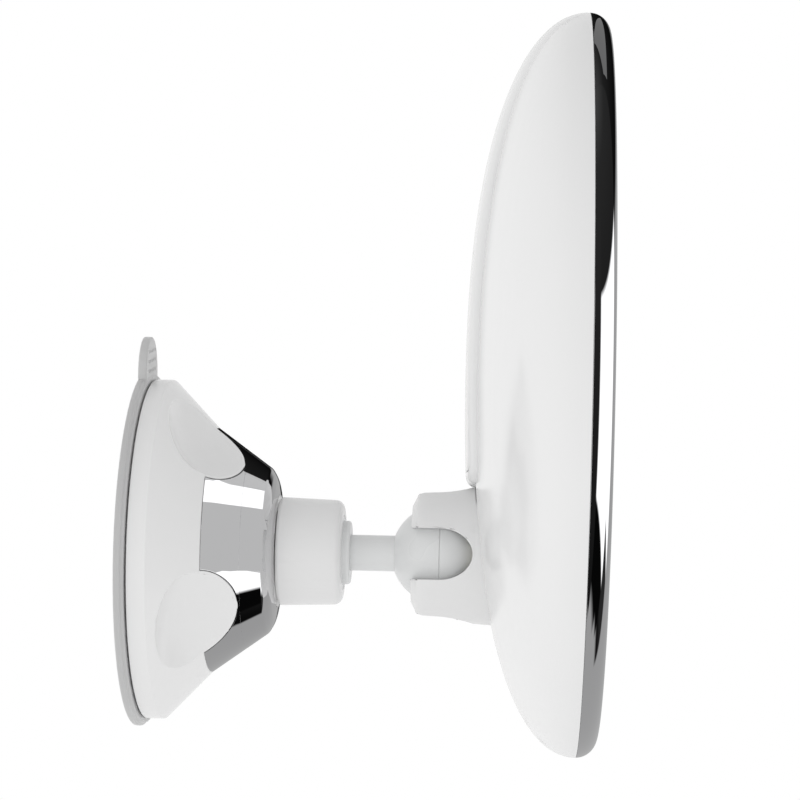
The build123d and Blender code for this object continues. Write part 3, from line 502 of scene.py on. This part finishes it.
class MIRROR_OT_make_knob(bpy.types.Operator):
    """Make the locking knob with its finger scoops and bead, and the chrome ring round its front"""

    bl_idname = "makeup_mirror.make_knob"
    bl_label = "Make the knob"

    def execute(self, context):
        rounded_piece("knob_cone", "lock_knob", KNOB_EDGE, reach=KNOB_REACH)
        rounded_piece("knob_trim_tabs", "knob_chrome_ring", TRIM_EDGE, cut=TRIM_CUT)
        # The third corner lies on the cone, so that the shading is the cone's own from there on.
        front = lathe([
            (TRIM_START, 25.4, 0), (TRIM_START, 26.442, 0), (29.52, 26.428, 0), (35.1, 22.4, 0.5),
            (36.7, 19.7, 1.4), (TRIM_FRONT, TRIM_HOLE_RADIUS, 0.35), (36.2, TRIM_HOLE_RADIUS, 0.2),
            (35.5, 18.82, 0), (34.28, 21.52, 0),
        ])
        piece("knob_trim_front", front, "knob_chrome_ring")
        return {"FINISHED"}


# Arm: edge roundings, and where the socket's foot on the shell starts.
COLLAR_EDGE = 0.2
ROD_EDGE = 0.15
BALL_EDGE = 0.1
SOCKET_EDGE = 0.3
SOCKET_FOOT_START = 91.0


class MIRROR_OT_make_arm(bpy.types.Operator):
    """Make the collar, the bush, the rod, the ball's halves and the four-fingered socket"""

    bl_idname = "makeup_mirror.make_arm"
    bl_label = "Make the arm"

    def execute(self, context):
        # The collar and the socket take the greyer ABS, whose darker colour is painted shade.
        rounded_piece("collar", "swivel_collar", COLLAR_EDGE, "joint_plastic_painted_shade")
        rounded_piece("bush", "swivel_bush", ROD_EDGE)
        rounded_piece("rod", "arm_rod", ROD_EDGE)
        rounded_piece("ball_rear", "ball_rear_half", BALL_EDGE)
        rounded_piece("ball_front", "ball_front_half", BALL_EDGE)
        # The socket's darker colour is painted shade.
        rounded_piece(
            "socket_fingers", "ball_socket", SOCKET_EDGE, "joint_plastic_painted_shade", foot_start=SOCKET_FOOT_START)
        return {"FINISHED"}


# Head: edge roundings and the height of its axis.
SHELL_EDGE = 0.12
DOOR_EDGE = 0.2
BUTTON_EDGE = 0.3
HEAD_AXIS = 46.7


class MIRROR_OT_make_shell(bpy.types.Operator):
    """Make the domed back shell, the battery door and the power button"""

    bl_idname = "makeup_mirror.make_shell"
    bl_label = "Make the back shell"

    def execute(self, context):
        rounded_piece("shell", "back_shell", SHELL_EDGE)
        rounded_piece("door", "battery_door", DOOR_EDGE)
        rounded_piece("button", "power_button", BUTTON_EDGE)
        return {"FINISHED"}


# Chrome rim: a rounded hoop over the shell's edge, a lip over the light ring and a skirt inside.
RIM_BACK = 118.55
RIM_RADIUS = 100.05
RIM_FRONT = 124.1
RIM_FRONT_ROUND = 5.4
LIP_BACK = 122.4
LIP_RADIUS = 91.5
SKIRT_BACK = 115.0
SKIRT_INNER_RADIUS = 94.9
SKIRT_OUTER_RADIUS = 96.9
# Light ring: a flat frosted washer round the mirror.
LIGHT_BACK = 120.3
LIGHT_FRONT = 122.3
LIGHT_INNER_RADIUS = 72.7
LIGHT_OUTER_RADIUS = 94.5


class MIRROR_OT_make_face(bpy.types.Operator):
    """Make the plated rim and the frosted light ring"""

    bl_idname = "makeup_mirror.make_face"
    bl_label = "Make the rim and the light ring"

    def execute(self, context):
        rim = lathe([
            (RIM_BACK, 99.6, 0.1), (RIM_BACK, RIM_RADIUS, 0.12), (RIM_FRONT, 99.8, RIM_FRONT_ROUND),
            (123.9, 92.9, 0.4), (123.2, LIP_RADIUS, 0.3), (LIP_BACK, LIP_RADIUS, 0),
            (LIP_BACK, SKIRT_INNER_RADIUS, 0), (SKIRT_BACK, SKIRT_INNER_RADIUS, 0.2),
            (SKIRT_BACK, SKIRT_OUTER_RADIUS, 0.3), (118.5, SKIRT_OUTER_RADIUS, 0),
        ], HEAD_AXIS, HEAD_TURN_STEPS)
        piece("rim", rim, "chrome_rim")
        ring = lathe([
            (LIGHT_BACK, LIGHT_INNER_RADIUS, 0.1), (LIGHT_BACK, LIGHT_OUTER_RADIUS, 0.2),
            (LIGHT_FRONT, LIGHT_OUTER_RADIUS, 0.2), (LIGHT_FRONT, LIGHT_INNER_RADIUS, 0.3),
        ], HEAD_AXIS)
        piece("light_ring", ring, "diffuser_ring")
        return {"FINISHED"}


# Stage

def flat_panel(name, corners, material, **shown):
    """A flat stage panel through four corners, hidden from the ray kinds that are named False."""
    mesh = bpy.data.meshes.new(name)
    shape = bmesh.new()
    bmesh.ops.create_grid(shape, x_segments=1, y_segments=1, size=1)
    for vertex, corner in zip(shape.verts, corners):
        vertex.co = corner
    shape.to_mesh(mesh)
    shape.free()
    mesh.materials.append(material)
    panel = bpy.data.objects.new(name, mesh)
    bpy.context.scene.collection.objects.link(panel)
    for kind, value in shown.items():
        setattr(panel, "visible_" + kind, value)
    panel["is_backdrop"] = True


def calculated(tree, operation, *values):
    """The result of one Math node."""
    made = add_node(tree, "ShaderNodeMath", {"operation": operation}, dict(enumerate(values)))
    return made.outputs[0]


def banded(tree, value, stops):
    """Levels along a value from 0 to 1, from pairs of place and level."""
    made = add_node(tree, "ShaderNodeValToRGB", None, {"Fac": value})
    ramp = made.color_ramp
    while len(ramp.elements) < len(stops):
        ramp.elements.new(0.5)
    for element, (place, level) in zip(ramp.elements, stops):
        element.position = place
        element.color = (level, level, level, 1.0)
    return made.outputs["Color"]


def blended(tree, factor, first, second):
    """The first value where the factor is 0 and the second where it is 1."""
    return add_node(tree, "ShaderNodeMapRange", None, {
        "Value": factor, "To Min": first, "To Max": second,
    }).outputs["Result"]


WHITE = (1, 1, 1, 1)
# How much the floor glows to the camera, so that it shows as white as the background.
FLOOR_GLOW = 0.4

# Cards that only mirror-bright chrome sees, by name, brightness and corners in millimetres: a white
# stripe and a grey field in front of the head's back for the knob's tabs, and a dim field behind
# for the rim's top.
CARDS = (
    ("stripe_card", 1.7, ((84, -54.2, 52.1), (84, -23.3, 48.3), (84, -38.7, 76.8), (84, 8.4, 72.9))),
    ("field_card", 0.72, ((84.2, -85, -21.7), (84.2, 5, -27.4), (84.2, -80, 55.3), (84.2, 5, 44.8))),
    ("rim_card", 0.2, ((140, 110, 205), (330, 110, 395), (140, 110, 400), (330, 110, 520))),
)

# What chrome sees round the part, as pairs of elevation in degrees and brightness: dark round the
# camera, a soft box to its side and a grey floor and wall behind the part.
BOX_TOP = ((19, 1.7), (21, 0.02), (60, 0.03), (90, 0.08))
LENS_BANDS = ((-90, 0.47), (-78, 0.47), (-70, 0.01), (60, 0.03), (90, 0.08))
KEY_BANDS = ((-90, 0.47), (-68, 0.47), (-60, 0.003), (-35, 0.003), (-33, 1.7), *BOX_TOP)
EDGE_BANDS = ((-90, 0.47), (-58, 0.47), (-54, 0.003), (-35, 0.003), (-33, 1.7), *BOX_TOP)
FLAG_BANDS = ((-90, 0.47), (-54, 0.47), (-48, 0.003), (-36, 0.03), (-20, 0.03), (-18, 1.7), *BOX_TOP)
BACK_BANDS = ((-90, 0.47), (14, 0.47), (19, 0.003), (60, 0.02), (90, 0.08))
REAR_BANDS = ((-90, 0.47), (-6, 0.47), (0, 0.003), (60, 0.02), (90, 0.08))
# Where each next set of bands starts, as an angle away from the camera, with half the width of the
# soft change between the two.
ZONES = (
    (38, 3, KEY_BANDS),
    (86, 4, EDGE_BANDS),
    (100, 2, FLAG_BANDS),
    (120, 2, BACK_BANDS),
    (176, 1, REAR_BANDS),
)
# What lights every other surface: soft from the front and from a little below, and stronger from
# the sides, away from the middle at SIDE_CENTRE along X.
SOFT_BANDS = ((-90, 0.82), (-45, 0.87), (0, 0.92), (40, 0.72), (90, 0.54))
SIDE_CENTRE = 0.15
SIDE_GAIN = 0.3
SIDE_BASE = 0.98
# A colour ramp holds levels up to 1, so they are kept as shares of this brightness.
BAND_SCALE = 2.0

# Key lamp: a square soft box in front, a little below the part.
LAMP_WIDTH = 1.0
LAMP_WATTS = 2.0
LAMP_PLACE = (0.1, -1.5, -0.5)
LAMP_AIM = (0.08, 0, 0.03)

# The photograph's viewpoint: focal length and sensor width, and the eye and what it looks at, all
# in millimetres, and the tilt of the picture.
FOCAL_LENGTH = 105.34
SENSOR_WIDTH = 36.0
EYE = (101.08, -635.9, -7.2)
AIM = (69.33, 0.0, 41.82)
ROLL = math.radians(1.339)
NEAREST = 0.01
FARTHEST = 20.0


def lay_floor(sizes):
    """A pale floor that shows white to the camera, is hidden from gloss, and keeps the part's shadow."""
    paint, tree = blank_material("floor_paint")
    matt = add_node(tree, "ShaderNodeBsdfDiffuse", None, {"Color": linear("EFEFEF")})
    path = add_node(tree, "ShaderNodeLightPath")
    seen = calculated(tree, "MAXIMUM", path.outputs["Is Camera Ray"], path.outputs["Is Glossy Ray"])
    seen = calculated(tree, "MAXIMUM", seen, path.outputs["Is Transmission Ray"])
    glow = add_node(tree, "ShaderNodeEmission", None, {
        "Color": WHITE, "Strength": calculated(tree, "MULTIPLY", seen, FLOOR_GLOW),
    })
    total = add_node(tree, "ShaderNodeAddShader", None, {0: matt.outputs[0], 1: glow.outputs[0]})
    add_node(tree, "ShaderNodeOutputMaterial", None, {"Surface": total.outputs[0]})
    half = sizes.floor_size / 2
    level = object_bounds()[0].z - sizes.floor_drop
    corners = [Vector((x, y, level)) for y in (-half, half) for x in (-half, half)]
    flat_panel("studio_floor", corners, paint, glossy=False, diffuse=False)


def hang_cards():
    """The cards, which shine into mirror reflections alone."""
    for name, brightness, corners in CARDS:
        paint, tree = blank_material(name + "_paint")
        path = add_node(tree, "ShaderNodeLightPath")
        clear = add_node(tree, "ShaderNodeBsdfTransparent")
        glow = add_node(tree, "ShaderNodeEmission", None, {"Color": WHITE, "Strength": brightness})
        either = add_node(tree, "ShaderNodeMixShader", None, {
            0: path.outputs["Is Singular Ray"], 1: clear.outputs[0], 2: glow.outputs[0],
        })
        add_node(tree, "ShaderNodeOutputMaterial", None, {"Surface": either.outputs[0]})
        places = [Vector(corner) * MM for corner in corners]
        flat_panel(name, places, paint, camera=False, diffuse=False, transmission=False, shadow=False)


def light_world(scene):
    """A white background, the studio that chrome sees, and the soft light on all else."""
    world = bpy.data.worlds.new("studio_world")
    world.use_nodes = True
    world.node_tree.nodes.clear()
    tree = world.node_tree
    towards = add_node(tree, "ShaderNodeTexCoord")
    parts = add_node(tree, "ShaderNodeSeparateXYZ", None, {"Vector": towards.outputs["Generated"]})
    elevation = calculated(tree, "ARCSINE", parts.outputs["Z"])
    rise = calculated(tree, "MULTIPLY_ADD", elevation, 1 / math.pi, 0.5)
    forward = calculated(tree, "MULTIPLY", parts.outputs["Y"], -1.0)
    turn = calculated(tree, "ABSOLUTE", calculated(tree, "ARCTAN2", parts.outputs["X"], forward))

    def bands(rows):
        """Brightness by elevation."""
        return banded(tree, rise, [(angle / 180 + 0.5, level / BAND_SCALE) for angle, level in rows])

    studio = bands(LENS_BANDS)
    for angle, width, rows in ZONES:
        past = add_node(tree, "ShaderNodeMapRange", {"interpolation_type": "SMOOTHSTEP"}, {
            "Value": turn, "From Min": math.radians(angle - width), "From Max": math.radians(angle + width),
        })
        studio = blended(tree, past.outputs["Result"], studio, bands(rows))
    aside = calculated(tree, "ABSOLUTE", calculated(tree, "SUBTRACT", parts.outputs["X"], SIDE_CENTRE))
    gain = calculated(tree, "MULTIPLY_ADD", aside, SIDE_GAIN, SIDE_BASE)
    soft = calculated(tree, "MULTIPLY", bands(SOFT_BANDS), gain)
    path = add_node(tree, "ShaderNodeLightPath")
    level = blended(tree, path.outputs["Is Singular Ray"], soft, studio)
    level = calculated(tree, "MULTIPLY", level, BAND_SCALE)
    seen = calculated(tree, "MAXIMUM", path.outputs["Is Camera Ray"], path.outputs["Is Transmission Ray"])
    sky = add_node(tree, "ShaderNodeBackground", None, {
        "Color": WHITE, "Strength": blended(tree, seen, level, 1.0),
    })
    add_node(tree, "ShaderNodeOutputWorld", None, {"Surface": sky.outputs[0]})
    scene.world = world


def hang_lamp(scene):
    """The key lamp, which makes the soft shadows and shows in no reflection."""
    lamp = bpy.data.lights.new("key_lamp", "AREA")
    lamp.shape = "SQUARE"
    lamp.size = LAMP_WIDTH
    lamp.energy = LAMP_WATTS
    holder = bpy.data.objects.new("key_lamp", lamp)
    holder.location = LAMP_PLACE
    holder.rotation_euler = (Vector(LAMP_AIM) - holder.location).to_track_quat("-Z", "Y").to_euler()
    holder.visible_glossy = False
    scene.collection.objects.link(holder)


def place_camera(scene):
    """The camera at the photograph's viewpoint."""
    lens = bpy.data.cameras.new("photo_camera")
    lens.lens = FOCAL_LENGTH
    lens.sensor_width = SENSOR_WIDTH
    lens.clip_start = NEAREST
    lens.clip_end = FARTHEST
    camera = bpy.data.objects.new("photo_camera", lens)
    eye = Vector(EYE) * MM
    back = (eye - Vector(AIM) * MM).normalized()
    up = Vector((-math.sin(ROLL), 0, math.cos(ROLL)))
    side = up.cross(back).normalized()
    up = back.cross(side)
    camera.matrix_world = Matrix((
        (side.x, up.x, back.x, eye.x),
        (side.y, up.y, back.y, eye.y),
        (side.z, up.z, back.z, eye.z),
        (0, 0, 0, 1),
    ))
    scene.collection.objects.link(camera)
    scene.camera = camera


class MIRROR_OT_set_stage(bpy.types.Operator):
    """Set the floor, the cards, the lamp, the world and the camera"""

    bl_idname = "makeup_mirror.set_stage"
    bl_label = "Set the stage"

    def execute(self, context):
        scene = context.scene
        lay_floor(scene.mirror_sizes)
        hang_cards()
        light_world(scene)
        hang_lamp(scene)
        place_camera(scene)
        scene.view_settings.view_transform = "Standard"
        return {"FINISHED"}


class MIRROR_PT_panel(bpy.types.Panel):
    """Sidebar panel with the sizes, colours and building steps"""

    bl_label = "Makeup Mirror"
    bl_idname = "MIRROR_PT_panel"
    bl_space_type = "VIEW_3D"
    bl_region_type = "UI"
    bl_category = "Makeup Mirror"

    def draw(self, context):
        for group in (context.scene.mirror_sizes, context.scene.mirror_colours):
            for name in group.bl_rna.properties.keys():
                if name not in ("rna_type", "name"):
                    self.layout.prop(group, name)
        for step in STEPS:
            self.layout.operator(step.bl_idname)


STEPS = (
    MIRROR_OT_finish_frame,
    MIRROR_OT_make_disc,
    MIRROR_OT_make_knob,
    MIRROR_OT_make_arm,
    MIRROR_OT_make_shell,
    MIRROR_OT_make_face,
    MIRROR_OT_set_stage,
)
CLASSES = (MirrorColours, MirrorSizes, *STEPS, MIRROR_PT_panel)


def register():
    """Add the classes and the settings to Blender."""
    for item in CLASSES:
        bpy.utils.register_class(item)
    bpy.types.Scene.mirror_colours = PointerProperty(type=MirrorColours)
    bpy.types.Scene.mirror_sizes = PointerProperty(type=MirrorSizes)


def unregister():
    """Take them out again, last first."""
    del bpy.types.Scene.mirror_sizes
    del bpy.types.Scene.mirror_colours
    for item in reversed(CLASSES):
        bpy.utils.unregister_class(item)


def main():
    register()
    bpy.ops.makeup_mirror.finish_frame()
    bpy.ops.makeup_mirror.make_disc()
    bpy.ops.makeup_mirror.make_knob()
    bpy.ops.makeup_mirror.make_arm()
    bpy.ops.makeup_mirror.make_shell()
    bpy.ops.makeup_mirror.make_face()
    bpy.ops.makeup_mirror.set_stage()


if __name__ == "__main__":
    main()
